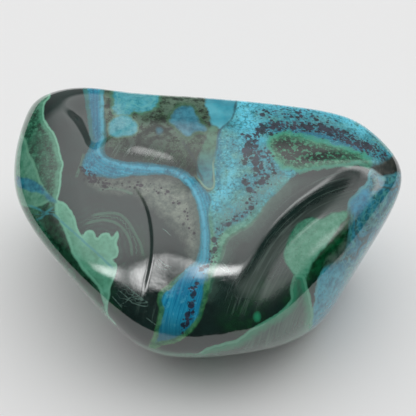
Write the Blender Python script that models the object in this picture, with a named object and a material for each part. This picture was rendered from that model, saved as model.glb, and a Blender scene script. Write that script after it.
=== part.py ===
"""A polished free-form stone of chrysocolla and malachite: one closed solid, about 71 x 48 x 34 mm.

Metres, +Z up. The stone lies on the plane Z = 0 with the middle of its box over the origin. +X is its
long way, and -Y is the side that slopes down towards whoever looks at its crown.

Run it with: blender --background --python part.py
"""

import bpy
import numpy as np

MM = 0.001

# The block that the tumbler wore down. Each worn face is given by the bearing and the climb of the way
# it looks, in degrees, and by its distance in mm from the heart of the stone. Bearing 0 is +X and 90 +Y.
FACES = {
    "crown": (271, 80, 18),
    "underside": (0, -90, 15.5),
    "back": (85, 4, 14.2),
    "lower back": (92, -40, 18.5),
    "back right": (42, -12, 24.2),
    "right": (-28, -17, 31.3),
    "right front": (-53, 22, 30),
    "front": (-95, 37, 26.6),
    "lower front": (-85, -42, 26.7),
    "front left": (215, -24, 27),
    "left shoulder": (244, 59, 25.1),
    "left": (190, 18, 39.8),
    "back left": (160, -8, 34.9),
}
EDGE_HARDNESS = 10.0
FOOT_WEAR = 0.25

# Shallow dips worn into the walls and the underside: the bearing and climb from the heart and the half
# width as an angle, all in degrees, and the depth in mm.
WALL_DIPS = {
    "back scoop": (112, 2, 17, 1.3),
    "back right scoop": (62, -20, 12, 0.9),
    "left wall scoop": (178, -8, 13, 1.0),
    "right wall scoop": (-12, -18, 13, 0.8),
    "underside hollow": (120, -64, 15, 0.9),
    "front under scoop": (-62, -44, 13, 0.8),
}

# The crown sinks away from its middle by this much per square mm.
CROWN_DOME = 0.002

# Ledges on the crown, with the ground to the right of each path lower by drop. The path is in plan, in mm
# from the heart. The fall takes width, and the low ground climbs back over reach. A ledge fades in and
# out over these shares of its path.
LEDGES = {
    "back fall": {
        "path": [(40, 0), (14, 4), (-12, 7), (-40, 10)],
        "drop": 2.0, "width": 20, "reach": 90, "fade": (0.01, 0.01),
    },
    "long ridge": {
        "path": [(5, -37), (6.5, -30), (7.8, -25.5), (10, -21), (13.6, -16.5), (18, -12.3),
                 (23.4, -8), (29.5, -4.6), (36, -2.2)],
        "drop": 3.0, "width": 6.5, "reach": 60, "fade": (0.01, 0.4),
    },
    "left crease": {
        "path": [(-10.6, -29), (-10.4, -25.5), (-9.4, -21), (-9.4, -17), (-10.6, -12), (-13.5, -7),
                 (-17, -3)],
        "drop": -0.6, "width": 1.2, "reach": 6, "fade": (0.2, 0.5),
    },
    "vein edge": {
        "path": [(-21, 1.2), (-15, -0.6), (-10, -2), (-5, -3.8), (0, -6.2), (3, -8)],
        "drop": 1.9, "width": 5.6, "reach": 10, "fade": (0.35, 0.5),
    },
    "knob flank": {
        "path": [(-20, -2), (-21.5, 1.5), (-23.3, 5), (-26, 9)],
        "drop": 1.8, "width": 3.6, "reach": 6, "fade": (0.3, 0.3),
    },
}
NEAREST_BLUR = 1.5

# Swells and hollows of the crown: middle in plan and half widths along and across, in mm, the turn of the
# long way from +X in degrees, and the height in mm, negative for a hollow.
CROWN_SWELLS = {
    "left knob": {"middle": (-24, 10), "spread": (6, 6), "turn": 0, "height": 2.0},
    "right shelf": {"middle": (21, -21), "spread": (9, 5), "turn": 45, "height": 0.6},
    "back dome": {"middle": (-8, 3), "spread": (8, 4.5), "turn": 0, "height": 0.8},
    "front lip": {"middle": (-8, -24.5), "spread": (4, 3), "turn": 0, "height": -0.9},
    "main hump": {"middle": (8, -8), "spread": (9, 5), "turn": 35, "height": 1.2},
    "ridge tip": {"middle": (23, -4.3), "spread": (5, 1.2), "turn": 12, "height": 0.7},
}

GRID_CELLS = 28
STONE_COLOUR = (0.02, 0.16, 0.15, 1.0)


def facing(bearing, climb):
    """Unit vector that looks along a compass bearing and climbs above the horizon, both in degrees."""
    turn, rise = np.radians(bearing), np.radians(climb)
    return np.array([np.cos(turn) * np.cos(rise), np.sin(turn) * np.cos(rise), np.sin(rise)])


def smooth_step(t):
    """0 below 0, 1 above 1, and an S-shaped rise in between."""
    t = np.clip(t, 0.0, 1.0)
    return t * t * t * (t * (6 * t - 15) + 10)


def cube_grid(cells):
    """Directions on a sphere from a cube with cells x cells squares a side, and the squares' corners."""
    steps = np.tan(np.linspace(-1, 1, cells + 1) * np.pi / 4)
    across, along = np.meshgrid(steps, steps, indexing="ij")
    corner = np.arange((cells + 1) ** 2).reshape(cells + 1, cells + 1)
    square = np.stack([corner[:-1, :-1], corner[1:, :-1], corner[1:, 1:], corner[:-1, 1:]], -1).reshape(-1, 4)
    points, quads = [], []
    for axis in range(3):
        for side in (1, -1):
            face = np.empty((across.size, 3))
            face[:, axis] = side
            face[:, (axis + 1) % 3] = side * across.ravel()
            face[:, (axis + 2) % 3] = along.ravel()
            quads.append(square + len(points) * corner.size)
            points.append(face)
    points = np.concatenate(points)
    _, first, index = np.unique(np.round(points, 9), axis=0, return_index=True, return_inverse=True)
    quads = index.reshape(-1)[np.concatenate(quads)]
    directions = points[first]
    return directions / np.linalg.norm(directions, axis=1, keepdims=True), quads


def worn_block(directions):
    """Where each direction leaves the rounded block, where the p-norm of its heights over the faces is 1,

    less the dips, each the depth times exp(-0.5 (angle / half width)^2).
    """
    looks = np.array([facing(bearing, climb) for bearing, climb, _ in FACES.values()])
    distances = np.array([distance for _, _, distance in FACES.values()])
    heights = np.maximum(directions @ looks.T, 0) / distances
    reach = (heights**EDGE_HARDNESS).sum(1) ** (-1 / EDGE_HARDNESS)
    for bearing, climb, half_width, depth in WALL_DIPS.values():
        apart = np.degrees(np.arccos(np.clip(directions @ facing(bearing, climb), -1, 1)))
        reach -= depth * np.exp(-0.5 * (apart / half_width) ** 2)
    return directions * reach[:, None]


def smooth_path(corners, steps=12):
    """Catmull-Rom curve through the corners, as points."""
    ends = np.array([corners[0], *corners, corners[-1]], float)
    t = np.linspace(0, 1, steps, endpoint=False)[:, None]
    pieces = []
    for a, b, c, d in zip(ends, ends[1:], ends[2:], ends[3:]):
        pieces.append(b + 0.5 * t * (c - a + t * (2 * a - 5 * b + 4 * c - d + t * (3 * (b - c) + d - a))))
    return np.concatenate([*pieces, ends[-1:]])


def beside_path(points, path):
    """Distance of each plan point to the right of a path, and the share of the path's length it is at.

    Both are means over the path's points, each with the weight exp(-(d^2 - nearest d^2) / (2 blur^2)).
    """
    runs = np.gradient(path, axis=0)
    to_right = np.stack([runs[:, 1], -runs[:, 0]], 1) / np.hypot(*runs.T)[:, None]
    gap = points[:, None, :] - path
    squared = (gap**2).sum(-1)
    weight = np.exp((squared.min(1, keepdims=True) - squared) / (2 * NEAREST_BLUR**2))
    weight /= weight.sum(1, keepdims=True)
    return (weight * (gap * to_right).sum(-1)).sum(1), weight @ np.linspace(0, 1, len(path))


def crown_relief(plan):
    """Height that the dome, ledges, swells and hollows add to the crown over each plan point, in mm."""
    relief = -CROWN_DOME * (plan**2).sum(1)
    for ledge in LEDGES.values():
        beside, share = beside_path(plan, smooth_path(ledge["path"]))
        fall = smooth_step(beside / ledge["width"] + 0.5)
        climb_back = np.exp(-(np.maximum(beside, 0) / ledge["reach"]) ** 2)
        start, end = ledge["fade"]
        shown = smooth_step(share / start) * smooth_step((1 - share) / end)
        relief -= ledge["drop"] * fall * climb_back * shown
    for swell in CROWN_SWELLS.values():
        turn = np.radians(swell["turn"])
        from_middle = plan - swell["middle"]
        along = from_middle @ [np.cos(turn), np.sin(turn)] / swell["spread"][0]
        across = from_middle @ [-np.sin(turn), np.cos(turn)] / swell["spread"][1]
        relief += swell["height"] * np.exp(-0.5 * (along**2 + across**2))
    return relief


def stone_surface(directions):
    """Points of the finished stone, in mm, standing on Z = 0 with the middle of its box over the origin."""
    points = worn_block(directions)
    crown = smooth_step(points[:, 2] / FACES["crown"][2])
    points[:, 2] += crown * crown_relief(points[:, :2])
    points[:, 2] = np.maximum(points[:, 2], FOOT_WEAR - FACES["underside"][2])
    low, high = points.min(0), points.max(0)
    return points - [(low[0] + high[0]) / 2, (low[1] + high[1]) / 2, low[2]]


def stone_mesh(cells):
    """Mesh of the stone on a cube grid, in metres."""
    directions, quads = cube_grid(cells)
    mesh = bpy.data.meshes.new("stone")
    mesh.from_pydata((stone_surface(directions) * MM).tolist(), [], quads.tolist())
    mesh.shade_smooth()
    return mesh


def polished_stone():
    """The finish that every face of the stone has."""
    material = bpy.data.materials.new("polished_stone")
    material.use_nodes = True
    shader = material.node_tree.nodes["Principled BSDF"]
    shader.inputs["Base Color"].default_value = STONE_COLOUR
    shader.inputs["Roughness"].default_value = 0.1
    shader.inputs["Metallic"].default_value = 0.0
    return material


def build():
    for old in list(bpy.data.objects):
        bpy.data.objects.remove(old)
    stone = bpy.data.objects.new("stone", stone_mesh(GRID_CELLS))
    stone.data.materials.append(polished_stone())
    bpy.context.scene.collection.objects.link(stone)


build()
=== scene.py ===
# %% [markdown]
# # A polished stone of chrysocolla and malachite
#
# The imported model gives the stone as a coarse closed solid. This lesson makes the same stone again on a
# much finer grid, works out where the veins and growths of its minerals lie in it, and gives it a
# polished finish. Everything is in metres, with the stone standing on Z = 0.

import bpy
import numpy as np
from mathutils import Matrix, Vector


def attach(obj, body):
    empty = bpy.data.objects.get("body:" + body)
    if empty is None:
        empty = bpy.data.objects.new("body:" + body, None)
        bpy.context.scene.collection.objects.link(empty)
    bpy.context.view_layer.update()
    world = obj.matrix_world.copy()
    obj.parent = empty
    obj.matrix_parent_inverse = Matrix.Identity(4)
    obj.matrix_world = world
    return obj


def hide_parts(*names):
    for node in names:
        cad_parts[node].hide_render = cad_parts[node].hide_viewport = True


MM_IN_METRE = 1000

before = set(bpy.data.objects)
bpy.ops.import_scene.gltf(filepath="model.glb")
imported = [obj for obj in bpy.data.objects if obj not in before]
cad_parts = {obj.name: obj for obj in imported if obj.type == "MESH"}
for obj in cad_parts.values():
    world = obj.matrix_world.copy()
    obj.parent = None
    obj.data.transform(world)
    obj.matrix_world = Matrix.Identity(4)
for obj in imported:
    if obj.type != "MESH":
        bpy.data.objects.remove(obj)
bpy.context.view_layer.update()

# %% [markdown]
# ## The block that the tumbler wore down
#
# A tumbled stone keeps the flats of the broken block it came from, with every edge rounded over. It could
# be sculpted, or a subdivided box could be pushed about, but a handful of worn faces in one formula gives
# round edges of one kind everywhere and stays easy to change. Each face has the bearing and the climb of
# the way it looks, in degrees, and its distance in mm from the heart of the stone. A dip in a wall has the
# bearing, the climb and the half width in degrees, and the depth in mm.

# %% The worn faces and the dips in the walls
MM = 0.001
FACES = {
    "crown": (271, 80, 18),
    "underside": (0, -90, 15.5),
    "back": (85, 4, 14.2),
    "lower back": (92, -40, 18.5),
    "back right": (42, -12, 24.2),
    "right": (-28, -17, 31.3),
    "right front": (-53, 22, 30),
    "front": (-95, 37, 26.6),
    "lower front": (-85, -42, 26.7),
    "front left": (215, -24, 27),
    "left shoulder": (244, 59, 25.1),
    "left": (190, 18, 39.8),
    "back left": (160, -8, 34.9),
}
EDGE_HARDNESS = 10.0
FOOT_WEAR = 0.25
WALL_DIPS = {
    "back scoop": (112, 2, 17, 1.3),
    "back right scoop": (62, -20, 12, 0.9),
    "left wall scoop": (178, -8, 13, 1.0),
    "right wall scoop": (-12, -18, 13, 0.8),
    "underside hollow": (120, -64, 15, 0.9),
    "front under scoop": (-62, -44, 13, 0.8),
}


def facing(bearing, climb):
    """Unit vector that looks along a compass bearing and climbs above the horizon, both in degrees."""
    turn, rise = np.radians(bearing), np.radians(climb)
    return np.array([np.cos(turn) * np.cos(rise), np.sin(turn) * np.cos(rise), np.sin(rise)])


def worn_block(directions):
    """Where each direction leaves the rounded block: where the p-norm of its heights over the faces is 1,

    less the dips, each the depth times exp(-0.5 (angle / half width)^2).
    """
    looks = np.array([facing(bearing, climb) for bearing, climb, _ in FACES.values()])
    distances = np.array([distance for _, _, distance in FACES.values()])
    heights = np.maximum(directions @ looks.T, 0) / distances
    reach = (heights**EDGE_HARDNESS).sum(1) ** (-1 / EDGE_HARDNESS)
    for bearing, climb, half_width, depth in WALL_DIPS.values():
        apart = np.degrees(np.arccos(np.clip(directions @ facing(bearing, climb), -1, 1)))
        reach -= depth * np.exp(-0.5 * (apart / half_width) ** 2)
    return directions * reach[:, None]


print(len(FACES), "worn faces and", len(WALL_DIPS), "dips in the walls")

# %% [markdown]
# ## The relief of the crown
#
# The minerals differ in hardness, so the polish leaves the hard ones proud: a long ridge crosses the
# crown, a crease runs down its left side and the vein stands on a low step. Each ledge is a path in plan
# with the ground to its right lower by a drop in mm. It falls over a width, climbs back over a reach, and
# fades in and out over two shares of the path. A swell has a middle, half widths, a turn and a height.

# %% Ledges of the crown
CROWN_DOME = 0.002
LEDGES = {
    "back fall": {
        "path": [(40, 0), (14, 4), (-12, 7), (-40, 10)],
        "drop": 2.0, "width": 20, "reach": 90, "fade": (0.01, 0.01),
    },
    "long ridge": {
        "path": [(5, -37), (6.5, -30), (7.8, -25.5), (10, -21), (13.6, -16.5), (18, -12.3),
                 (23.4, -8), (29.5, -4.6), (36, -2.2)],
        "drop": 3.0, "width": 5.2, "reach": 60, "fade": (0.01, 0.4),
    },
    "left crease": {
        "path": [(-10.6, -29), (-10.4, -25.5), (-9.4, -21), (-9.4, -17), (-10.6, -12), (-13.5, -7),
                 (-17, -3)],
        "drop": -0.38, "width": 0.7, "reach": 6, "fade": (0.2, 0.4),
    },
    "vein edge": {
        "path": [(-21, 1.2), (-15, -0.6), (-10, -2), (-5, -3.8), (0, -6.2), (3, -8)],
        "drop": 1.9, "width": 5.6, "reach": 10, "fade": (0.35, 0.5),
    },
    "knob flank": {
        "path": [(-20, -2), (-21.5, 1.5), (-23.3, 5), (-26, 9)],
        "drop": 1.8, "width": 3.6, "reach": 6, "fade": (0.3, 0.3),
    },
}
print(len(LEDGES), "ledges on the crown")

# %% Swells and hollows of the crown
CROWN_SWELLS = {
    "left knob": {"middle": (-24, 10), "spread": (6, 6), "turn": 0, "height": 2.0},
    "right shelf": {"middle": (21, -21), "spread": (9, 5), "turn": 45, "height": 0.6},
    "back dome": {"middle": (-8, 3), "spread": (8, 4.5), "turn": 0, "height": 0.8},
    "front lip": {"middle": (-8, -24.5), "spread": (4, 3), "turn": 0, "height": -0.9},
    "main hump": {"middle": (8, -8), "spread": (9, 5), "turn": 35, "height": 1.2},
    "ridge tip": {"middle": (23, -4.3), "spread": (5, 1.2), "turn": 12, "height": 0.7},
}
print(len(CROWN_SWELLS), "swells and hollows")

# %% Steps and curves
NEAREST_BLUR = 1.5


def smooth_step(t):
    """0 below 0, 1 above 1, and an S-shaped rise in between: t^3 (6 t^2 - 15 t + 10)."""
    t = np.clip(t, 0.0, 1.0)
    return t * t * t * (t * (6 * t - 15) + 10)


def smooth_path(corners, steps=12, closed=False):
    """Catmull-Rom curve through the corners, as points: a cubic in t between each two of them."""
    corners = np.array(corners, float)
    if closed:
        ends = np.concatenate([corners[-1:], corners, corners[:2]])
    else:
        ends = np.concatenate([corners[:1], corners, corners[-1:]])
    t = np.linspace(0, 1, steps, endpoint=False)[:, None]
    pieces = []
    for a, b, c, d in zip(ends, ends[1:], ends[2:], ends[3:]):
        pieces.append(b + 0.5 * t * (c - a + t * (2 * a - 5 * b + 4 * c - d + t * (3 * (b - c) + d - a))))
    return np.concatenate([*pieces, ends[-2:-1]])


def beside_ledge(points, path):
    """Distance of each plan point to the right of a path, and the share of the path's length it is at.

    Both are means over the path's points, each with the weight exp(-(d^2 - nearest d^2) / (2 blur^2)).
    """
    runs = np.gradient(path, axis=0)
    to_right = np.stack([runs[:, 1], -runs[:, 0]], 1) / np.hypot(*runs.T)[:, None]
    gap = points[:, None, :] - path
    squared = (gap**2).sum(-1)
    weight = np.exp((squared.min(1, keepdims=True) - squared) / (2 * NEAREST_BLUR**2))
    weight /= weight.sum(1, keepdims=True)
    return (weight * (gap * to_right).sum(-1)).sum(1), weight @ np.linspace(0, 1, len(path))


print("a step is", smooth_step(0.5), "half way")

# %% The height that they add up to


def crown_relief(plan):
    """Height that the dome, ledges, swells and hollows add to the crown over each plan point, in mm.

    The dome takes a share of the distance squared. A ledge takes its drop times an S-step across its path,
    times exp(-(distance / reach)^2) on the low side, times an S-step at each end. A swell adds its height
    times exp(-0.5 (along^2 + across^2)), both in its own half widths.
    """
    relief = -CROWN_DOME * (plan**2).sum(1)
    for ledge in LEDGES.values():
        beside, share = beside_ledge(plan, smooth_path(ledge["path"]))
        fall = smooth_step(beside / ledge["width"] + 0.5)
        climb_back = np.exp(-(np.maximum(beside, 0) / ledge["reach"]) ** 2)
        start, end = ledge["fade"]
        shown = smooth_step(share / start) * smooth_step((1 - share) / end)
        relief -= ledge["drop"] * fall * climb_back * shown
    for swell in CROWN_SWELLS.values():
        turn = np.radians(swell["turn"])
        from_middle = plan - swell["middle"]
        along = from_middle @ [np.cos(turn), np.sin(turn)] / swell["spread"][0]
        across = from_middle @ [-np.sin(turn), np.cos(turn)] / swell["spread"][1]
        relief += swell["height"] * np.exp(-0.5 * (along**2 + across**2))
    return relief


print("relief over the heart:", crown_relief(np.zeros((1, 2))).round(2), "mm")

# %% [markdown]
# ## The fine mesh
#
# A sphere of latitudes and longitudes would crowd its points at two poles, and a polish shows every pole.
# A cube blown up to a sphere has no poles, so its squares stay nearly even. Two parameters run over each
# side of the cube, and the edges that two sides share are merged.

# %% The surface of the whole stone
GRID_CELLS = 128
MERGE_DIGITS = 9


def cube_grid(cells):
    """Directions on a sphere from a cube with cells x cells squares a side, and the squares' corners.

    On each side the two parameters are tan(angle), evenly spaced in angle from -45 to 45 degrees.
    """
    steps = np.tan(np.linspace(-1, 1, cells + 1) * np.pi / 4)
    across, along = np.meshgrid(steps, steps, indexing="ij")
    corner = np.arange((cells + 1) ** 2).reshape(cells + 1, cells + 1)
    square = np.stack([corner[:-1, :-1], corner[1:, :-1], corner[1:, 1:], corner[:-1, 1:]], -1).reshape(-1, 4)
    points, quads = [], []
    for axis in range(3):
        for side in (1, -1):
            face = np.empty((across.size, 3))
            face[:, axis] = side
            face[:, (axis + 1) % 3] = side * across.ravel()
            face[:, (axis + 2) % 3] = along.ravel()
            quads.append(square + len(points) * corner.size)
            points.append(face)
    points = np.concatenate(points)
    _, first, index = np.unique(np.round(points, MERGE_DIGITS), axis=0,
                                return_index=True, return_inverse=True)
    quads = index.reshape(-1)[np.concatenate(quads)]
    directions = points[first]
    return directions / np.linalg.norm(directions, axis=1, keepdims=True), quads


def stone_surface(directions):
    """Points of the stone in mm from its heart: the worn block plus the relief on its crown.

    The relief is faded in by an S-step of the height over the crown's, and nothing is below the foot.
    """
    points = worn_block(directions)
    crown = smooth_step(points[:, 2] / FACES["crown"][2])
    points[:, 2] += crown * crown_relief(points[:, :2])
    points[:, 2] = np.maximum(points[:, 2], FOOT_WEAR - FACES["underside"][2])
    return points


def middle_of_foot(points):
    """The point that goes to the origin: under the middle of the box of the points."""
    low, high = points.min(0), points.max(0)
    return np.array([(low[0] + high[0]) / 2, (low[1] + high[1]) / 2, low[2]])


directions, quads = cube_grid(GRID_CELLS)
from_heart = stone_surface(directions)
heart = -middle_of_foot(from_heart)
stone_mesh = bpy.data.meshes.new("stone_fine")
stone_mesh.from_pydata(((from_heart + heart) * MM).tolist(), [], quads.tolist())
stone_mesh.shade_smooth()
stone = bpy.data.objects.new("stone_fine", stone_mesh)
bpy.context.scene.collection.objects.link(stone)
print(len(from_heart), "points,", 2 * len(quads), "triangles; heart at", heart.round(2), "mm")

# %% [markdown]
# ## The camera
#
# The camera looks down at the crown at fifty degrees, from straight in front. It could be placed by hand,
# but worked out from the heart of the stone it keeps its aim when the stone's shape changes. It comes
# before the pattern because the minerals are outlined as it sees them.

# %% A camera that aims at the heart of the stone
PICTURE = 416
LENS = 90.0
SENSOR = 36.0
CAMERA_DROP = np.radians(50)
CAMERA_DISTANCE = 200.0
HEART_PIXEL = (205.5, 205.4)

look = np.array([0, np.cos(CAMERA_DROP), -np.sin(CAMERA_DROP)])
picture_right = np.array([1.0, 0, 0])
picture_down = -np.array([0, np.sin(CAMERA_DROP), np.cos(CAMERA_DROP)])
eye = heart - look * CAMERA_DISTANCE

camera = bpy.data.objects.new("camera", bpy.data.cameras.new("camera"))
camera.data.lens = LENS
camera.data.sensor_width = SENSOR
camera.data.shift_x = (PICTURE / 2 - HEART_PIXEL[0]) / PICTURE
camera.data.shift_y = (HEART_PIXEL[1] - PICTURE / 2) / PICTURE
camera.location = Vector(eye * MM)
camera.rotation_euler = Vector(look).to_track_quat("-Z", "Y").to_euler()
bpy.context.scene.collection.objects.link(camera)
bpy.context.scene.camera = camera
print("camera at", [round(c, 4) for c in camera.location])

# %% [markdown]
# ## Where each point lies in the camera's frame
#
# The minerals grew as sheets, so a vein that crosses the crown carries on down through the stone. All the
# sheets here run along the camera's line of sight. A vein or a growth is then one flat curve, drawn as
# the camera sees it, in pixels of its frame: x to the right and y downwards. On the sides that face away,
# the sheets bend in slow waves, so the back isn't a copy of the front. A wave is a sum of sines of the
# place in cm, times the wave's pixels. It is at its full height from where the surface turns away so far
# that the cosine between its normal and the line of sight reaches the number given for it.

# %% Frame coordinates of every point
SHEET_WAVE = 24.0
FULLY_AWAY = 0.7
WAVE_UNIT = 10.0


def in_frame(points):
    """Pixel coordinates: the offset across and down from the eye, over the depth, times the focal length."""
    away = points - eye
    focal = LENS / SENSOR * PICTURE / (away @ look)
    across = HEART_PIXEL[0] + focal * (away @ picture_right)
    down = HEART_PIXEL[1] + focal * (away @ picture_down)
    return np.stack([across, down], 1)


stone_points = from_heart + heart
normals = np.empty(len(stone_points) * 3, np.float32)
stone_mesh.vertices.foreach_get("normal", normals)
turned_away = smooth_step(normals.reshape(-1, 3) @ look / FULLY_AWAY)
x, y, z = (stone_points / WAVE_UNIT).T
waves = np.stack([np.sin(1.3 * z + 0.9 * y) + 0.6 * np.sin(2.1 * x + 1), np.sin(1.1 * x - 1.7 * z + 2)], 1)
framed = in_frame(stone_points) + SHEET_WAVE * turned_away[:, None] * waves
print("the stone spans", in_frame(stone_points).min(0).round(), "to", in_frame(stone_points).max(0).round())

# %% [markdown]
# ## How far a point is from a drawn line
#
# A border between two minerals has a rim on each side, so the material needs to know how far each point is
# from it, not only which side it is on. The borders could be painted on an image, but an image has
# pixels. Distances kept at the points of the mesh are blended between them, which leaves borders smooth.

# %% Distances to outlines and lines
TINY = 1e-9


def nearest_on(points, path):
    """Distance from each point to a path, the side it is on, and the share of the path's length there.

    Each stretch of the path is tried in turn: the foot of the point on it is a + t (b - a) with t clipped
    to 0 to 1. The side is the sign of the cross product with the nearest stretch, + to its right.
    """
    best = np.full(len(points), np.inf)
    side = np.ones(len(points))
    share = np.zeros(len(points))
    lengths = np.hypot(*np.diff(path, axis=0).T)
    starts = np.concatenate([[0], np.cumsum(lengths)])
    for a, b, length, start in zip(path, path[1:], lengths, starts):
        run, gap = b - a, points - a
        t = np.clip(gap @ run / max(length, TINY) ** 2, 0, 1)
        off = gap - t[:, None] * run
        distance = np.hypot(*off.T)
        closer = distance < best
        best[closer] = distance[closer]
        side[closer] = np.sign(run[0] * gap[closer, 1] - run[1] * gap[closer, 0])
        share[closer] = (start + t[closer] * length) / starts[-1]
    return best, side, share


def inside(points, path):
    """Whether each point is inside a closed path: it is when a ray from it crosses the path oddly often."""
    odd = np.zeros(len(points), bool)
    for (ax, ay), (bx, by) in zip(path, path[1:]):
        if ay != by:
            spans = (points[:, 1] > ay) != (points[:, 1] > by)
            odd ^= spans & (points[:, 0] < ax + (points[:, 1] - ay) * (bx - ax) / (by - ay))
    return odd


print("distances to a path are ready")

# %% Depth inside an outline
REACH = 16.0


def near_box(points, path, margin):
    """Which points are in the path's box with a margin round it."""
    return np.all((points > path.min(0) - margin) & (points < path.max(0) + margin), axis=1)


def outline_depth(corners):
    """Distance of each point of the stone inside a closed outline, negative outside it, within the reach."""
    path = smooth_path(corners, steps=6, closed=True)
    depth = np.full(len(framed), -REACH)
    near = near_box(framed, path, REACH)
    distance, _, _ = nearest_on(framed[near], path)
    depth[near] = np.minimum(distance, REACH) * np.where(inside(framed[near], path), 1, -1)
    return depth


def store(name, values):
    """Keeps a number at each point of the mesh, under a name that the material reads."""
    numbers = stone_mesh.attributes.new(name, "FLOAT", "POINT")
    numbers.data.foreach_set("value", np.ascontiguousarray(values, np.float32))


print("outlines reach", REACH, "pixels to each side")

# %% [markdown]
# ## Outlines of the growths
#
# Chrysocolla fills the veins and the hollows, malachite grows in round lobes and bands. Every growth is a
# closed outline through a few corners, smoothed by a Catmull-Rom curve. The material reads how deep a
# point is inside an outline, so it can colour the rim, the border and the middle of a growth apart.

# %% Outlines of the growth on the left
LOBE_EDGE = [(65, 203), (71, 210), (75, 218), (77, 226), (82, 236), (86, 231), (93, 231), (97, 238),
    (101, 234), (108, 233), (112, 238), (117, 231), (119, 236), (116, 243), (119, 250), (117, 257),
    (112, 260), (117, 265), (115, 276), (111, 287), (109, 300)]
GROWTHS = {
    "left_growth": [(50, 92), (45, 104), (44, 115), (47, 123), (52, 130), (57, 139), (60, 149), (62, 158),
        (64, 165), (62, 173), (61, 183), (60, 193), (58, 200), *LOBE_EDGE, (108, 314), (116, 328),
        (90, 345), (20, 310), (-15, 220), (-15, 110), (25, 70)],
    "pale_lobes": [(57, 201), *LOBE_EDGE, (107, 312), (103, 300), (98, 287), (90, 277), (82, 268),
        (74, 256), (69, 242), (63, 228), (56, 213)],
    "left_wedge": [(10, 120), (24, 138), (28, 152), (33, 162), (38, 175), (42, 186), (50, 198), (40, 205),
        (24, 205), (5, 190)],
    "dark_strip": [(44, 207), (52, 212), (60, 224), (68, 240), (76, 258), (84, 270), (94, 284), (104, 300),
        (106, 308), (98, 302), (84, 286), (68, 266), (54, 246), (43, 226)],
    "teal_wedge": [(16, 177), (24, 178), (33, 180), (42, 187), (50, 195), (57, 202), (50, 201), (42, 194),
        (34, 192), (26, 190), (18, 186)],
}
print(len(GROWTHS), "outlines on the left; the lobes share", len(LOBE_EDGE), "corners with the growth")

# %% Outlines of the veins and the turquoise
VEIN_HOLLOW = [(178, 277), (170, 286), (162, 292), (159, 300), (161, 310), (159, 321), (155, 335),
    (150, 348), (162, 344), (178, 339), (190, 331), (198, 320), (203, 306), (206, 291), (208, 276)]
GROWTHS |= {
    "blue_vein": [(84, 80), (85, 100), (87, 115), (89, 130), (91, 141), (88, 149), (84, 158), (82, 168),
        (86, 175), (100, 177), (115, 178), (132, 176), (150, 175), (168, 175), (181, 181), (190, 190),
        (196, 203), (199, 218), (200, 234), (199, 250), (195, 261), (186, 269), *VEIN_HOLLOW, (210, 262),
        (211, 250), (210, 234), (208, 216), (211, 202), (207, 192), (199, 183), (189, 174), (178, 168),
        (165, 165), (150, 163), (135, 162), (120, 160), (110, 157), (105, 151), (106, 140), (106, 128),
        (105, 115), (104, 100), (103, 80)],
    "turquoise": [(238, 90), (236, 105), (233, 116), (228, 123), (222, 128), (218, 136), (217, 146),
        (215, 156), (214, 165), (214, 176), (214, 187), (209, 192), (203, 194), (204, 206), (206, 220),
        (207, 236), (205, 252), (201, 268), (203, 282), (207, 291), (212, 276), (218, 262), (222, 250),
        (226, 240), (234, 233), (246, 227), (256, 217), (264, 206), (274, 195), (286, 183), (298, 173),
        (312, 169), (330, 166), (348, 164), (362, 163), (370, 166), (380, 165), (388, 160), (396, 150),
        (400, 120), (360, 85), (300, 80)],
    "green_growth": [(268, 140), (273, 135), (288, 132), (305, 136), (325, 142), (345, 147), (358, 151),
        (366, 155), (371, 162), (368, 167), (356, 164), (340, 165), (322, 168), (306, 171), (292, 170),
        (280, 165), (273, 156), (268, 148)],
    "tongue": [(211, 126), (218, 128), (217, 146), (214, 160), (213, 175), (213, 186), (209, 189),
        (204, 187), (200, 180), (197, 171), (198, 159), (203, 145), (207, 134)],
    "grey_dust": [(92, 181), (112, 181), (132, 180), (152, 179), (170, 180), (181, 186), (190, 196),
        (196, 212), (199, 230), (199, 248), (194, 256), (188, 245), (182, 232), (172, 222), (160, 212),
        (148, 200), (136, 192), (120, 190), (100, 188)],
}
print(len(GROWTHS), "outlines with the veins and the turquoise")

# %% Outlines of the patches of the back dome
GROWTHS |= {
    "teal_patches": [(113, 92), (122, 86), (140, 88), (158, 92), (157, 104), (150, 110), (140, 112),
        (133, 108), (128, 116), (118, 115), (114, 106)],
    "low_patch": [(110, 122), (116, 117), (124, 116), (132, 118), (137, 126), (134, 134), (124, 136),
        (113, 136), (109, 130)],
    "blue_patch": [(177, 109), (184, 106), (192, 108), (195, 115), (200, 122), (207, 129), (203, 132),
        (195, 132), (190, 136), (184, 135), (177, 128), (170, 120)],
    "top_patch": [(205, 92), (220, 88), (238, 92), (236, 105), (232, 117), (227, 123), (218, 128),
        (211, 124), (208, 112)],
    "blue_dot": [(156, 128), (160, 127), (163, 130), (161, 133), (157, 133)],
}
print(len(GROWTHS), "outlines with the patches")

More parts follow.
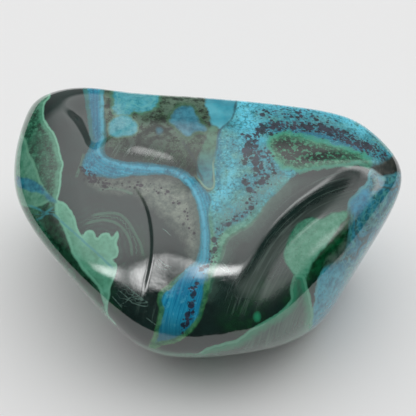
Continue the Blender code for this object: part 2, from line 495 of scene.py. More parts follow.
# %% Outlines of the right side and the front
GROWTHS |= {
    "dome": [(104, 80), (106, 128), (104, 150), (112, 157), (130, 160), (150, 162), (168, 164), (180, 167),
        (190, 173), (199, 181), (198, 172), (198, 160), (203, 145), (208, 134), (214, 126), (232, 117),
        (238, 90), (200, 78)],
    "dome_rim": [(104, 78), (106, 100), (130, 112), (150, 108), (170, 108), (190, 106), (205, 110),
        (214, 100), (238, 96), (238, 78)],
    "right_patch": [(284, 258), (286, 246), (291, 232), (300, 222), (311, 217), (321, 219), (334, 213),
        (346, 211), (347, 217), (340, 226), (326, 246), (313, 262), (306, 278), (298, 279), (290, 269)],
    # A dark band along the right rim: painted shade where the curve mirrors the dark front of the tent.
    "green_shade": [(300, 230), (330, 222), (347, 210), (352, 218), (349, 232), (338, 250), (322, 268),
        (308, 286), (300, 296), (297, 282), (306, 262)],
    "right_blue": [(372, 170), (380, 176), (392, 175), (404, 170), (420, 200), (400, 260), (340, 340),
        (310, 332), (312, 318), (315, 300), (318, 284), (325, 268), (342, 257), (349, 237), (348, 216),
        (350, 202), (358, 192), (367, 184)],
    "bright_blue": [(352, 198), (359, 192), (367, 190), (371, 196), (367, 206), (361, 214), (353, 214),
        (350, 206)],
    "low_blue": [(322, 268), (332, 264), (342, 262), (346, 272), (342, 290), (334, 306), (324, 320),
        (314, 330), (311, 318), (315, 300), (317, 284)],
    "brown_wedge": [(372, 166), (380, 163), (392, 158), (402, 160), (405, 172), (394, 174), (380, 175)],
    # A grey patch on the rounded edge between the shelf and the right face: a painted reflection of the floor.
    "brown_shelf": [(323, 246), (332, 236), (341, 232), (348, 238), (346, 252), (338, 262), (326, 266),
        (321, 258)],
    "front_band": [(294, 276), (303, 276), (307, 286), (311, 300), (313, 316), (309, 332), (296, 345),
        (250, 362), (190, 364), (200, 352), (216, 345), (236, 340), (252, 329), (266, 320), (280, 312),
        (290, 301), (291, 288)],
    "foot_band": [(84, 296), (100, 316), (114, 326), (130, 339), (150, 348), (176, 353), (204, 354),
        (206, 366), (160, 366), (120, 350), (96, 330), (78, 304)],
    "green_spot": [(254, 313), (258, 311), (261, 315), (260, 321), (256, 322), (253, 318)],
    "vein_lobe": [*VEIN_HOLLOW, (203, 268), (190, 268)],
}

for name, corners in GROWTHS.items():
    store(name, outline_depth(corners))
print(len(GROWTHS), "growths outlined")

# %% [markdown]
# ## Seams and hairlines
#
# A seam is a line, not an area. The distance to its right, negative to its left, runs straight through
# zero on the line, so a thin seam stays sharp on a mesh whose points are further apart than it is wide.

# %% Lines that the material draws
SEAMS = {
    "cream_seam": [
        [(238, 92), (236, 105), (233, 116), (228, 123), (222, 128), (218, 136), (217, 146), (215, 156),
         (213, 165), (214, 176), (214, 186), (210, 189), (205, 187), (200, 181), (194, 174)],
    ],
    # Thin dark lines beside the tongue: painted shade of a small step in the surface.
    "dark_seam": [
        [(181, 139), (187, 148), (192, 155), (196, 164), (199, 173), (204, 183)],
        [(219, 130), (219, 145), (218, 160), (218, 175)],
    ],
    "blue_hair": [
        [(24, 204), (36, 208), (45, 213), (54, 215), (64, 224), (80, 238), (100, 256), (116, 272)],
        [(36, 220), (42, 217), (48, 211), (54, 207)],
    ],
    "green_hair": [
        [(84, 153), (81, 164), (76, 178)],
        [(98, 190), (110, 188), (122, 190), (134, 194)],
        [(90, 216), (106, 213), (120, 215), (129, 223), (136, 235), (141, 246), (143, 258)],
        [(84, 224), (104, 220), (118, 224), (126, 233), (131, 245), (132, 258)],
    ],
    "vein_light": [
        [(102, 82), (102, 104), (102, 124), (102, 140), (98, 150), (106, 160), (122, 165), (142, 168),
         (162, 169), (177, 173), (188, 182), (196, 194), (201, 208), (204, 224), (205, 242), (204, 258),
         (198, 272)],
    ],
    "vein_dark": [
        [(94, 82), (94, 104), (95, 118), (96, 130), (96, 140), (91, 152), (92, 165), (106, 171), (126, 172),
         (148, 172), (168, 172), (181, 178), (189, 188), (195, 202), (198, 218)],
    ],
    "scratches": [
        [(118, 290), (126, 296), (133, 304)],
        [(124, 284), (136, 294), (150, 304)],
        [(131, 297), (141, 300), (149, 303)],
        [(133, 303), (142, 306), (148, 306)],
        [(122, 304), (128, 300), (135, 292)],
        [(162, 228), (166, 231), (171, 236)],
        [(154, 262), (160, 268), (168, 270)],
        [(158, 258), (164, 264), (172, 267)],
        [(112, 296), (118, 303), (122, 308)],
        [(218, 266), (224, 270), (232, 273)],
        [(222, 262), (228, 268), (231, 274)],
        [(146, 318), (152, 322), (158, 326)],
    ],
}
print(len(SEAMS), "kinds of seam")

# %% Distance to the seams
SEAM_REACH = 8.0
SEAM_GONE = 7.0
SEAM_FADE = 3.0
SEAM_ENDS = 0.08


def seam_distance(paths):
    """Signed distance to the nearest of some lines, and how much of it shows: it fades off near the ends."""
    across = np.full(len(framed), REACH)
    shown = np.zeros(len(framed))
    for corners in paths:
        path = smooth_path(corners, steps=8)
        near = np.flatnonzero(near_box(framed, path, SEAM_REACH))
        distance, side, share = nearest_on(framed[near], path)
        ends = smooth_step(share / SEAM_ENDS) * smooth_step((1 - share) / SEAM_ENDS)
        closer = distance < np.abs(across[near])
        across[near[closer]] = (distance * side)[closer]
        shown[near[closer]] = (ends * smooth_step((SEAM_GONE - distance) / SEAM_FADE))[closer]
    return across, shown


for name, paths in SEAMS.items():
    across, shown = seam_distance(paths)
    store(name, across)
    store(name + "_shown", shown)
    print(name, "shows at", int((shown > 0).sum()), "points")

# %% [markdown]
# ## Where the specks crowd
#
# Dark red-brown cuprite grew as specks along the edges of the chrysocolla. The specks themselves come
# from the material. Here soft strokes say how closely they crowd: each is a path with a half width and a
# weight, and fades as exp(-(distance / half width)^2).

# %% Strokes of specks, wear, glow and painted sheen
STROKES = {
    "speck_crowding": [
        ([(246, 160), (250, 145), (258, 133), (272, 127), (290, 126), (310, 127), (330, 131), (346, 138),
          (362, 145), (374, 150), (382, 156)], 8, 1),
        ([(250, 138), (254, 152), (258, 166), (264, 178)], 10, 0.95),
        ([(246, 180), (254, 196), (250, 208)], 8, 0.7),
        ([(266, 148), (270, 160), (272, 172)], 7, 0.8),
        ([(258, 114), (280, 112), (305, 116), (330, 123)], 10, 0.62),
        ([(238, 128), (232, 140), (240, 152)], 8, 0.4),
        ([(256, 182), (251, 198), (245, 212), (232, 221), (219, 231), (216, 246), (212, 260),
          (203, 270)], 7, 0.75),
        ([(196, 284), (192, 298), (190, 314), (183, 331)], 6, 0.95),
        ([(84, 170), (94, 179), (106, 185)], 7, 0.9),
        ([(106, 186), (128, 185), (150, 186), (166, 193), (179, 206), (189, 222), (194, 240)], 8, 0.6),
    ],
    # Rubbed streaks; the tints laid on them are partly painted sheen and painted glints.
    "streak_crowding": [
        ([(238, 296), (252, 275), (270, 252), (290, 228), (312, 206), (338, 190)], 16, 1),
        ([(104, 148), (130, 151), (155, 156), (182, 166)], 8, 0.9),
        ([(120, 285), (140, 300), (160, 318)], 10, 0.5),
    ],
    "cyan_glow": [
        ([(248, 98), (248, 118), (252, 134)], 14, 1),
        ([(262, 106), (300, 106), (340, 115), (362, 128)], 9, 0.85),
        ([(230, 172), (226, 188), (216, 204)], 8, 0.6),
        ([(205, 190), (206, 215), (204, 245)], 5, 0.6),
    ],
    "deep_teal": [
        ([(280, 131), (305, 133), (330, 137), (350, 144), (366, 151)], 5, 0.95),
        ([(219, 128), (219, 150), (218, 185)], 2.5, 0.8),
    ],
    # Painted sheen: grey laid in the turquoise, mostly beside the ridge crest where the polish mirrors the
    # lamps.
    "haze_glow": [
        ([(228, 215), (246, 205), (262, 192), (280, 178)], 9, 0.8),
        ([(300, 124), (330, 128), (350, 134)], 6, 0.3),
    ],
    "emerald": [
        ([(238, 312), (252, 300), (262, 290)], 14, 1),
        ([(228, 322), (242, 326), (258, 320)], 10, 1),
        ([(284, 284), (290, 292), (286, 304)], 6, 0.9),
        ([(138, 232), (142, 244), (143, 256)], 5, 0.6),
        ([(110, 286), (111, 300), (118, 312)], 5, 0.9),
        ([(296, 296), (312, 284), (330, 260)], 8, 0.6),
    ],
    # Scuffs right of the ridge; their grey tint is partly a painted sheen.
    "scuffed": [
        ([(248, 288), (260, 274), (274, 254), (288, 238)], 9.5, 1),
        ([(260, 292), (278, 284), (294, 272)], 13, 0.9),
        ([(292, 232), (312, 218), (334, 204), (352, 198)], 9, 0.85),
    ],
}
print(sum(len(strokes) for strokes in STROKES.values()), "strokes")

# %% How closely the strokes crowd
RIDGE_LINE = [(225, 330), (237, 292), (252, 262), (268, 236), (286, 216), (306, 200), (330, 188), (370, 176)]
RING_HEART = (100, 250)
STROKE_REACH = 3
CROWDED = 0.3


def crowding(strokes):
    """The strongest of the strokes at each point: the weight times exp(-(distance / half width)^2)."""
    most = np.zeros(len(framed))
    for corners, half_width, weight in strokes:
        path = smooth_path(corners, steps=6)
        near = np.flatnonzero(near_box(framed, path, STROKE_REACH * half_width))
        distance, _, _ = nearest_on(framed[near], path)
        most[near] = np.maximum(most[near], weight * np.exp(-(distance / half_width) ** 2))
    return most


for name, strokes in STROKES.items():
    crowds = crowding(strokes)
    store(name, crowds)
    print(name, "covers", round(100 * float((crowds > CROWDED).mean()), 1), "% of the points")

store("sheet_down", framed[:, 1])
distance, side, _ = nearest_on(framed, smooth_path(RIDGE_LINE, steps=8))
store("across_ridge", distance * side)
store("ring_radius", np.hypot(*(framed - RING_HEART).T))
print("rings spread from", RING_HEART)

# %% [markdown]
# ## Shader maths as Python expressions
#
# A material built node by node is hard to read. A small class that wraps a socket and overloads the
# operators lets 1 - mask or depth * 2 add the Math nodes by itself. One method adds every kind of node.

# %% The wrapped socket


def maths(operation, *values):
    """A Math node on these values, in this order. At least one of them is a wire."""
    finish = next(value.finish for value in values if isinstance(value, Wire))
    return finish.node("ShaderNodeMath", {"operation": operation}, dict(enumerate(values)))


class Wire:
    """A socket of a node tree, on which + - * / and abs() add Math nodes."""

    def __init__(self, finish, socket):
        self.finish, self.socket = finish, socket

    def beside(self, name):
        """Another output of the same node."""
        return Wire(self.finish, self.socket.node.outputs[name])

    def __add__(self, other):
        return maths("ADD", self, other)

    def __radd__(self, other):
        return maths("ADD", other, self)

    def __sub__(self, other):
        return maths("SUBTRACT", self, other)

    def __rsub__(self, other):
        return maths("SUBTRACT", other, self)

    def __mul__(self, other):
        return maths("MULTIPLY", self, other)

    def __rmul__(self, other):
        return maths("MULTIPLY", other, self)

    def __truediv__(self, other):
        return maths("DIVIDE", self, other)

    def __rtruediv__(self, other):
        return maths("DIVIDE", other, self)

    def __abs__(self):
        return maths("ABSOLUTE", self)


print("a wire takes + - * / and abs()")

# %% The node builder


class Finish:
    """The node tree of a material or of the world, to which nodes are added."""

    def __init__(self, owner):
        owner.use_nodes = True
        self.tree = owner.node_tree

    def feed(self, node, sockets):
        """Links wires into the sockets of a node, and sets plain values."""
        for name, value in sockets.items():
            if isinstance(value, Wire):
                self.tree.links.new(value.socket, node.inputs[name])
            else:
                node.inputs[name].default_value = value

    def node(self, kind, settings=None, sockets=None, out=0):
        """A node with its settings and then its sockets, as the wire of one of its outputs.

        A ramp's stops are (share, height), and its Alpha is the height, straight between two stops.
        """
        node = self.tree.nodes.new(kind)
        for name, value in (settings or {}).items():
            if name == "stops":
                marks = node.color_ramp.elements
                while len(marks) < len(value):
                    marks.new(0.5)
                for mark, (share, height) in zip(marks, value):
                    mark.position, mark.color = share, (height,) * 4
            else:
                setattr(node, name, value)
        self.feed(node, sockets or {})
        return Wire(self, node.outputs[out])


print("one method adds every node")

# %% [markdown]
# ## The floor
#
# The stone lies on a pale matt board. It could be a small sheet with an edge, but a plane much wider than
# the stone shows no edge in any view, and its bounce lights the underside. It is stage, not a piece.

# %% The floor
FLOOR_HALF = 3.0
FLOOR_CORNERS = [(-1, -1), (1, -1), (1, 1), (-1, 1)]
FLOOR_ALBEDO = 0.8
FLOOR_ROUGHNESS = 0.9

floor_mesh = bpy.data.meshes.new("floor")
floor_mesh.from_pydata([(x * FLOOR_HALF, y * FLOOR_HALF, 0) for x, y in FLOOR_CORNERS], [], [(0, 1, 2, 3)])
floor = bpy.data.objects.new("floor", floor_mesh)
bpy.context.scene.collection.objects.link(floor)
pale_floor = bpy.data.materials.new("pale_floor")
matt = Finish(pale_floor)
matt.feed(matt.tree.nodes["Principled BSDF"],
          {"Base Color": (FLOOR_ALBEDO, FLOOR_ALBEDO, FLOOR_ALBEDO, 1), "Roughness": FLOOR_ROUGHNESS})
floor_mesh.materials.append(pale_floor)
print("floor", 2 * FLOOR_HALF, "m wide")

# %% [markdown]
# ## The light tent
#
# A polished stone mirrors its lamps, and its colours show only between their reflections. Area lamps would
# do, but a sky worked out from the direction can be soft on one side and sharp on the other. Each lamp is
# a brightness over the arc, from 0 degrees at the front horizon over the top to 180 at the back, times
# one over the sides, from -1 on the left to 1 on the right. What the polish mirrors and what fills the
# shade are told apart by the kind of ray, so that the reflections can be placed without changing the fill.

# %% The lamps
CEILING_ARC = [(0, 0.01), (44, 0.014), (57, 0.21), (66, 0.24), (90, 0.26), (126, 0.27),
               (142, 0.06), (180, 0.05)]
CEILING_SIDES = [(-1, 0.05), (-0.76, 0.06), (-0.55, 0.32), (-0.35, 0.40), (0.5, 0.40), (0.62, 0.34),
                 (0.76, 0.06), (1, 0.05)]
STRIP_ARC = [(43, 0.0), (47, 1.0), (50, 1.0), (54, 0.0)]
STRIP_SIDES = [(-0.6, 0.0), (-0.46, 0.3), (-0.34, 0.26), (-0.26, 0.06), (-0.17, 0.4), (0.05, 0.5),
               (0.2, 0.1), (0.8, 0.0)]
BOX_ARC = [(56, 0.0), (66, 1.0), (76, 1.0), (84, 0.0)]
BOX_SIDES = [(0.58, 0.0), (0.68, 0.2), (0.79, 0.2), (0.86, 0.0)]
FILL_ARC = [(0, 0.02), (40, 0.04), (64, 0.12), (82, 0.28), (98, 0.38), (135, 0.40), (165, 0.15), (180, 0.1)]
FILL_SIDES = [(-1, 0.1), (-0.8, 0.25), (-0.5, 0.4), (0.5, 0.4), (0.8, 0.25), (1, 0.1)]
STRIP_STRENGTH = 1.4
TENT_STRENGTH = 11.5
print("lamps: ceiling, strip, box and fill, with", len(CEILING_ARC), "stops over the ceiling's arc")

# %% The sky they are set in
tent = bpy.data.worlds.new("light_tent")
bpy.context.scene.world = tent
sky = Finish(tent)
east = sky.node("ShaderNodeSeparateXYZ", None, {"Vector": sky.node("ShaderNodeTexCoord")}, out="X")
north, up = east.beside("Y"), east.beside("Z")
arc = maths("ARCTAN2", up, north * -1.0) / np.pi


def lamp(over_arc, over_sides):
    """Light of one lamp: its height over the arc from front to back times its height over the sides."""
    arc_stops = [(degrees / 180, height) for degrees, height in over_arc]
    side_stops = [(0.5 + 0.5 * toward_east, height) for toward_east, height in over_sides]
    along = sky.node("ShaderNodeValToRGB", {"stops": arc_stops}, {"Fac": arc}, out="Alpha")
    aside = sky.node("ShaderNodeValToRGB", {"stops": side_stops}, {"Fac": east * 0.5 + 0.5}, out="Alpha")
    return along * aside


strip = lamp(STRIP_ARC, STRIP_SIDES) * STRIP_STRENGTH
mirrored = lamp(CEILING_ARC, CEILING_SIDES) + strip + lamp(BOX_ARC, BOX_SIDES)
is_mirror = sky.node("ShaderNodeLightPath", out="Is Glossy Ray")
glow = mirrored * is_mirror + lamp(FILL_ARC, FILL_SIDES) * (1 - is_mirror)
sky.feed(sky.tree.nodes["Background"], {"Color": (1, 1, 1, 1), "Strength": glow * TENT_STRENGTH})
bpy.context.scene.view_settings.view_transform = "Standard"
bpy.context.scene.view_settings.exposure = 0.0
print("light tent: a ceiling, a front strip and a box on the right, at strength", TENT_STRENGTH)

# %% [markdown]
# ## The polished finish
#
# The colour is laid down as the minerals lie over one another: dark malachite first, then each growth
# over it through a mask. A mask is the growth's depth in pixels, shifted by a little noise so that no
# border is a drawn line, and turned into 0 to 1 over the softness of that border. Tints are sRGB numbers,
# and the two numbers with a noise are where one tint starts to turn into the other and where it ends.

# %% Fields and noises that every mineral uses
LACE_SCALE = 850.0
STREAKS_ACROSS = 0.38
STREAKS_ALONG = 0.018

polish = bpy.data.materials.new("polished_chrysocolla")
paint = Finish(polish)
stone_mesh.materials.append(polish)
place = paint.node("ShaderNodeTexCoord", out="Object")


def kept(name):
    """A number kept at the points of the mesh."""
    return paint.node("ShaderNodeAttribute", {"attribute_name": name}, out="Fac")


def noise(size, detail=2.0, roughness=0.5, vector=None):
    """Cloudy noise from 0 to 1, mostly 0.3 to 0.7, with patches about this size in mm."""
    return paint.node("ShaderNodeTexNoise", None, {"Vector": vector or place, "Scale": MM_IN_METRE / size,
                                                   "Detail": detail, "Roughness": roughness})


border_noise = noise(2.2, detail=4.0, roughness=0.6)
cloud = noise(4.0, detail=3.0)
patches = noise(2.6, detail=3.0)
mottle = noise(1.2, detail=4.0, roughness=0.65)
blots = noise(0.7, detail=2.0)
grit = noise(0.5, detail=1.0)
fine = noise(0.4, detail=2.0, roughness=0.6)
lace = paint.node("ShaderNodeTexVoronoi", {"feature": "DISTANCE_TO_EDGE"},
                  {"Vector": place, "Scale": LACE_SCALE})
down = kept("sheet_down")
along_ridge = paint.node("ShaderNodeCombineXYZ", None,
                         {"X": kept("across_ridge") * STREAKS_ACROSS, "Y": down * STREAKS_ALONG})
streaks = noise(1000.0, detail=3.0, roughness=0.6, vector=along_ridge)
print(len(paint.tree.nodes), "nodes of fields and noises")

# %% Tints, steps and masks
SEAM_WOBBLE = 2.0
MIX_FACTOR, MIX_UNDER, MIX_TOP, MIX_RESULT = 0, 6, 7, 2


def linear(red, green, blue):
    """The linear colour of an sRGB one in 0 to 255: ((c + 0.055) / 1.055)^2.4 above the dark end."""
    values = np.array([red, green, blue]) / 255
    return (*np.where(values <= 0.04045, values / 12.92, ((values + 0.055) / 1.055) ** 2.4).tolist(), 1.0)


def over(mask, under, top):
    """The top colour laid over the one under it: under (1 - mask) + top mask. Each is a wire or a tint."""
    under, top = (linear(*tint) if isinstance(tint, tuple) else tint for tint in (under, top))
    return paint.node("ShaderNodeMix", {"data_type": "RGBA"},
                      {MIX_FACTOR: mask, MIX_UNDER: under, MIX_TOP: top}, out=MIX_RESULT)


def rise(value, low, high):
    """0 at low and 1 at high, straight between and clipped outside."""
    return paint.node("ShaderNodeMapRange", None, {"Value": value, "From Min": low, "From Max": high})


def mottled(low, high, under, top):
    """Two tints in mottles: the one under where the noise is below low, the top one where it is above high."""
    return over(rise(mottle, low, high), under, top)


def wobbling(name, wobble=5.0):
    """A kept distance in pixels plus (noise - 0.5) times wobble."""
    return kept(name) + (border_noise - 0.5) * wobble


def inside_of(name, soft=1.6, wobble=5.0, shrink=0.0):
    """Mask of a growth: 0 to 1 as its wobbling depth passes shrink, over this softness."""
    return rise(wobbling(name, wobble), shrink - soft / 2, shrink + soft / 2)


def rim_of(name, width, at=0.0, wobble=5.0):
    """Mask of a line at this depth in a growth: 1 within 0.3 widths of it and 0 beyond 0.7 widths."""
    return 1 - rise(abs(wobbling(name, wobble) - at), width * 0.3, width * 0.7)


def line_of(name, width):
    """Mask of a seam: 1 within a quarter of its width and 0 beyond three quarters, times its fading."""
    return (1 - rise(abs(wobbling(name, SEAM_WOBBLE)), width * 0.25, width * 0.75)) * kept(name + "_shown")


def laid(layer):
    """Prints how far the finish has come."""
    print(layer, "laid down,", len(paint.tree.nodes), "nodes so far")


print("masks: inside of a growth, along its rim, along a seam")

# %% [markdown]
# ## The dark malachite
#
# Malachite grows in thin shells round a seed, and a cut through them shows as rings. The rings could be
# drawn one by one. A ping-pong of the distance to the seed gives them all, and noise bends them.

# %% Dark malachite with its rings
RING_SPACING = 2.4
RING_WOBBLE = 14.0
RINGS_END, RINGS_FULL = 52.0, 34.0

colour = over(rise(cloud, 0.35, 0.65), (3, 28, 25), (10, 42, 37))
colour = over(kept("emerald") * rise(mottle, 0.35, 0.6), colour, (4, 62, 32))
ring_place = kept("ring_radius") + (cloud - 0.5) * RING_WOBBLE
rings = maths("PINGPONG", ring_place, RING_SPACING) / RING_SPACING
near_rings = rise(kept("ring_radius"), RINGS_END, RINGS_FULL) * rise(mottle, 0.35, 0.6)
colour = over(near_rings * rise(rings, 0.35, 1.0) * 0.4, colour, (50, 100, 82))
colour = over(line_of("green_hair", 2.8) * 0.35, colour, (84, 140, 112))
laid("the dark malachite")

# %% [markdown]
# ## The back dome
#
# On the dome the two minerals are mixed: olive mottles below, and patches where only the teal one grew.
# Each patch gets a soft rim before its own colour, because the teal thins out at its border.

# %% The back dome: olive mottles under teal patches
olive = mottled(0.38, 0.62, (4, 22, 10), (34, 66, 42))
olive = over(rise(fine, 0.48, 0.62) * rise(cloud, 0.4, 0.6) * 0.7, olive, (72, 104, 78))
olive = over(rise(cloud, 0.5, 0.38) * 0.7, olive, (4, 28, 16))
colour = over(inside_of("dome", soft=4.0), colour, olive)
clouding = patches * 0.55 + mottle * 0.45
dome_mottle = inside_of("dome", soft=8.0) * rise(clouding, 0.48, 0.56) * rise(down, 158.0, 128.0)
colour = over(dome_mottle * 0.7, colour, (66, 102, 82))
rim_tint = mottled(0.4, 0.6, (30, 66, 48), (84, 112, 92))
colour = over(inside_of("dome_rim", soft=9.0, wobble=18.0) * rise(mottle, 0.3, 0.55) * 0.8, colour, rim_tint)
teal = mottled(0.35, 0.65, (34, 128, 142), (72, 162, 176))
teal = over(rise(fine, 0.52, 0.66) * 0.5, teal, (90, 176, 170))
colour = over(rim_of("teal_patches", 6.0, wobble=14.0) * 0.6, colour, (62, 128, 98))
colour = over(inside_of("teal_patches", soft=2.5, wobble=14.0), colour, teal)
colour = over(rim_of("teal_patches", 2.2, at=5.0, wobble=14.0) * 0.35, colour, (104, 180, 176))
colour = over(rim_of("low_patch", 3.5, wobble=6.0) * 0.5, colour, (96, 140, 112))
colour = over(inside_of("low_patch", soft=2.5, wobble=6.0), colour, teal)
colour = over(rim_of("blue_patch", 5.0, at=-1.0, wobble=8.0) * 0.6, colour, (40, 92, 60))
blue = mottled(0.35, 0.65, (12, 92, 112), (44, 128, 148))
colour = over(inside_of("blue_patch", soft=2.5, wobble=8.0), colour, blue)
colour = over(inside_of("top_patch", soft=3.0, wobble=10.0), colour,
              over(rise(cloud, 0.35, 0.65), (30, 136, 156), (78, 172, 188)))
colour = over(inside_of("blue_dot", soft=3.0), colour, (30, 96, 110))
laid("the back dome")

# %% [markdown]
# ## The tongue
#
# A narrow tongue of green runs between the dome and the turquoise and turns blue lower down. One growth
# whose tint changes with the height gives that with no border between the two parts.

# %% The tongue between the dome and the turquoise
tongue = mottled(0.35, 0.6, (30, 78, 54), (64, 118, 92))
tongue = over(rise(down, 148.0, 172.0), tongue, mottled(0.35, 0.6, (10, 96, 110), (34, 128, 136)))
colour = over(inside_of("tongue", soft=2.5), colour, tongue)
# Painted shade: a thin dark line where a small step in the surface falls into shade.
colour = over(line_of("dark_seam", 2.6) * 0.7, colour, (4, 40, 40))
laid("the tongue")

# %% [markdown]
# ## Dust below the vein
#
# Below the vein lies a thin crust with the dark stone showing through. It is a very soft growth whose
# mask never reaches 1, and fine noise breaks it up.

# %% Grey-green dust below the vein
dust = mottled(0.3, 0.68, (86, 102, 92), (134, 144, 130))
dust_grain = rise(mottle * 0.7 + fine * 0.5, 0.42, 0.72) * 0.4 + 0.45
dust_lies = inside_of("grey_dust", soft=14.0, wobble=14.0) * dust_grain
colour = over(dust_lies, colour, dust)
laid("the dust")

# %% [markdown]
# ## The turquoise
#
# Chrysocolla sets like a gel, so its colour drifts in clouds and dries with a lace of fine cracks. The
# clouds are noises of several sizes, and strokes kept on the mesh say where it glows or darkens. One of
# them lays a painted grey sheen beside the ridge crest, where the polish mirrors the lamps. The
# cracks are the borders between Voronoi cells.

# %% The turquoise
turquoise = mottled(0.36, 0.62, (20, 116, 126), (60, 170, 186))
turquoise = over(rise(patches, 0.46, 0.6) * 0.65, turquoise, (84, 148, 134))
turquoise = over(kept("cyan_glow") * rise(mottle, 0.3, 0.52), turquoise, (92, 204, 230))
turquoise = over(rise(lace, 0.13, 0.02) * rise(patches, 0.56, 0.44) * 0.55, turquoise, (14, 92, 100))
turquoise = over(kept("deep_teal"), turquoise, (8, 112, 138))
turquoise = over(rise(fine, 0.56, 0.66) * 0.7, turquoise, (14, 78, 82))
turquoise = over(rise(fine, 0.42, 0.34) * 0.45, turquoise, (128, 206, 206))
# Painted sheen: a grey haze beside the ridge crest.
turquoise = over(kept("haze_glow") * rise(fine, 0.35, 0.6) * 0.7, turquoise, (112, 146, 142))
turquoise = over(kept("speck_crowding") * rise(mottle, 0.35, 0.6) * 0.55, turquoise, (44, 92, 116))
halo = rise(kept("turquoise") + (mottle - 0.5) * 14.0, -15.0, 1.0) * rise(down, 176.0, 186.0)
colour = over(halo * 0.6, colour, (88, 122, 108))
colour = over(inside_of("turquoise", soft=2.5), colour, turquoise)
low_rim = rise(down, 196.0, 232.0)
rim_tint = mottled(0.36, 0.6, (58, 128, 104), (110, 172, 146))
colour = over(rim_of("turquoise", 9.0, at=3.0, wobble=6.0) * low_rim, colour, rim_tint)
colour = over(rim_of("turquoise", 2.4, at=-0.8) * low_rim * 0.5, colour, (30, 80, 50))
laid("the turquoise")

# %% [markdown]
# ## The green growth
#
# Malachite comes back as a small mossy growth in the turquoise, darker in its core. The depth inside its
# outline, read as a number, tells the core from the edge.

# %% The green growth in the turquoise
green = mottled(0.40, 0.60, (26, 98, 72), (58, 134, 104))
green = over(rise(fine, 0.52, 0.62) * 0.6, green, (98, 160, 130))
core = rise(kept("green_growth"), 2.0, 9.0)
green = over(rise(blots + core * 0.12, 0.52, 0.6) * (core * 0.9 + 0.1), green, (14, 34, 26))
colour = over(inside_of("green_growth", soft=4.0, wobble=12.0), colour, green)
colour = over(rim_of("green_growth", 4.0, at=0.5, wobble=12.0) * 0.5, colour, (54, 158, 130))
laid("the green growth")

# %% [markdown]
# ## The blue vein
#
# The vein is the purest chrysocolla. It filled a crack from both walls, so it has bands along its length.
# They are a ping-pong of the distance to a line along it. Its front end fills a whole hollow.

# %% The blue vein and the hollow it fills at the front
BAND_SPACING = 1.7
BAND_WOBBLE = 5.0

vein = mottled(0.34, 0.64, (0, 104, 132), (24, 152, 180))
vein = over(rise(down, 185.0, 215.0) * 0.7, vein, (40, 160, 184))
bands = kept("vein_light") + (mottle - 0.5) * BAND_WOBBLE
vein = over(rise(maths("PINGPONG", bands, BAND_SPACING), 0.5, 1.3) * 0.45, vein, (6, 84, 110))
vein = over(rise(fine, 0.54, 0.66) * 0.45, vein, (84, 178, 196))
vein = over(rim_of("blue_vein", 6.0, at=1.5) * rise(down, 160.0, 140.0) * 0.8, vein, (36, 104, 88))
vein = over(rim_of("blue_vein", 3.0, at=0.5) * 0.5, vein, (30, 96, 98))
dark_middle = line_of("vein_dark", 9.0) * rise(mottle, 0.3, 0.55) * rise(down, 168.0, 140.0)
vein = over(dark_middle * 0.55, vein, (0, 84, 118))
vein = over(line_of("vein_light", 3.6) * rise(mottle, 0.34, 0.5) * 0.7, vein, (78, 176, 202))
colour = over(inside_of("blue_vein"), colour, vein)
lobe = over(rise(streaks, 0.4, 0.6), (2, 120, 162), (34, 156, 192))
lobe = over(rise(mottle, 0.56, 0.7) * 0.5, lobe, (92, 190, 214))
lobe = over(rise(down, 314.0, 336.0) * 0.75, lobe, (8, 92, 104))
colour = over(inside_of("vein_lobe"), colour, lobe)
edge = mottled(0.4, 0.6, (30, 96, 58), (72, 138, 86))
colour = over(rim_of("vein_lobe", 5.0, at=0.5, wobble=5.0) * rise(down, 268.0, 284.0) * 0.9, colour, edge)
colour = over(line_of("cream_seam", 1.8) * rise(down, 150.0, 168.0) * 0.7, colour, (122, 160, 134))
colour = over(line_of("cream_seam", 2.0) * rise(down, 164.0, 150.0) * 0.6, colour, (6, 84, 100))
laid("the vein")

# %% [markdown]
# ## The growth on the left
#
# The left end is a green growth with pale lobes and a pale skin. It is mixed by itself from all its parts
# and laid over the stone once, so that the parts share the one outer border.

# %% The green growth on the left
left = mottled(0.36, 0.62, (8, 50, 34), (40, 104, 78))
left = over(rise(fine + mottle * 0.5, 0.78, 0.92) * 0.5, left, (84, 148, 120))
left = over(rise(kept("left_growth"), 12.0, 24.0) * 0.5, left, (54, 116, 92))
wedge = mottled(0.35, 0.65, (54, 120, 94), (92, 152, 128))
left = over(inside_of("left_wedge", soft=4.0), left, wedge)
left = over(rim_of("left_wedge", 2.4, at=0.5) * 0.5, left, (110, 172, 142))
skin = mottled(0.35, 0.6, (60, 132, 102), (88, 160, 130))
left = over(rim_of("left_growth", 7.0, at=2.2, wobble=4.0) * 0.75, left, skin)
left = over(rim_of("left_growth", 2.2, at=0.8, wobble=4.0) * 0.8, left, (122, 190, 160))
left = over(inside_of("dark_strip", soft=5.0), left, mottled(0.4, 0.6, (10, 42, 28), (30, 76, 54)))
lobes = mottled(0.34, 0.64, (70, 144, 114), (98, 172, 142))
lobes = over(rise(cloud, 0.5, 0.64) * 0.5, lobes, (112, 186, 160))
lobes = over(rise(patches, 0.5, 0.62) * rise(down, 246.0, 262.0) * 0.55, lobes, (58, 122, 96))
left = over(inside_of("pale_lobes", soft=3.0), left, lobes)
left = over(rim_of("pale_lobes", 2.6, at=1.0, wobble=3.0) * 0.5, left, (122, 194, 164))
teal_wedge = mottled(0.4, 0.6, (16, 96, 116), (44, 130, 146))
left = over(inside_of("teal_wedge", soft=2.5), left, teal_wedge)
left = over(line_of("blue_hair", 2.2) * rise(mottle, 0.3, 0.5) * 0.7, left, (56, 142, 150))
colour = over(inside_of("left_growth", wobble=4.0), colour, left)
laid("the left growth")

# %% [markdown]
# ## The right side and the front
#
# The right side is chrysocolla too, with waves of brown in it where iron came in. Round the front run
# narrow bands of green. A dark band along the right rim is painted shade, and a grey patch beside it is a
# painted reflection of the floor. Again each growth is mixed first, and then laid over the stone.

# %% The growths of the right side and the front
WAVE_SPACING = 8.0
WAVE_BEND = 34.0

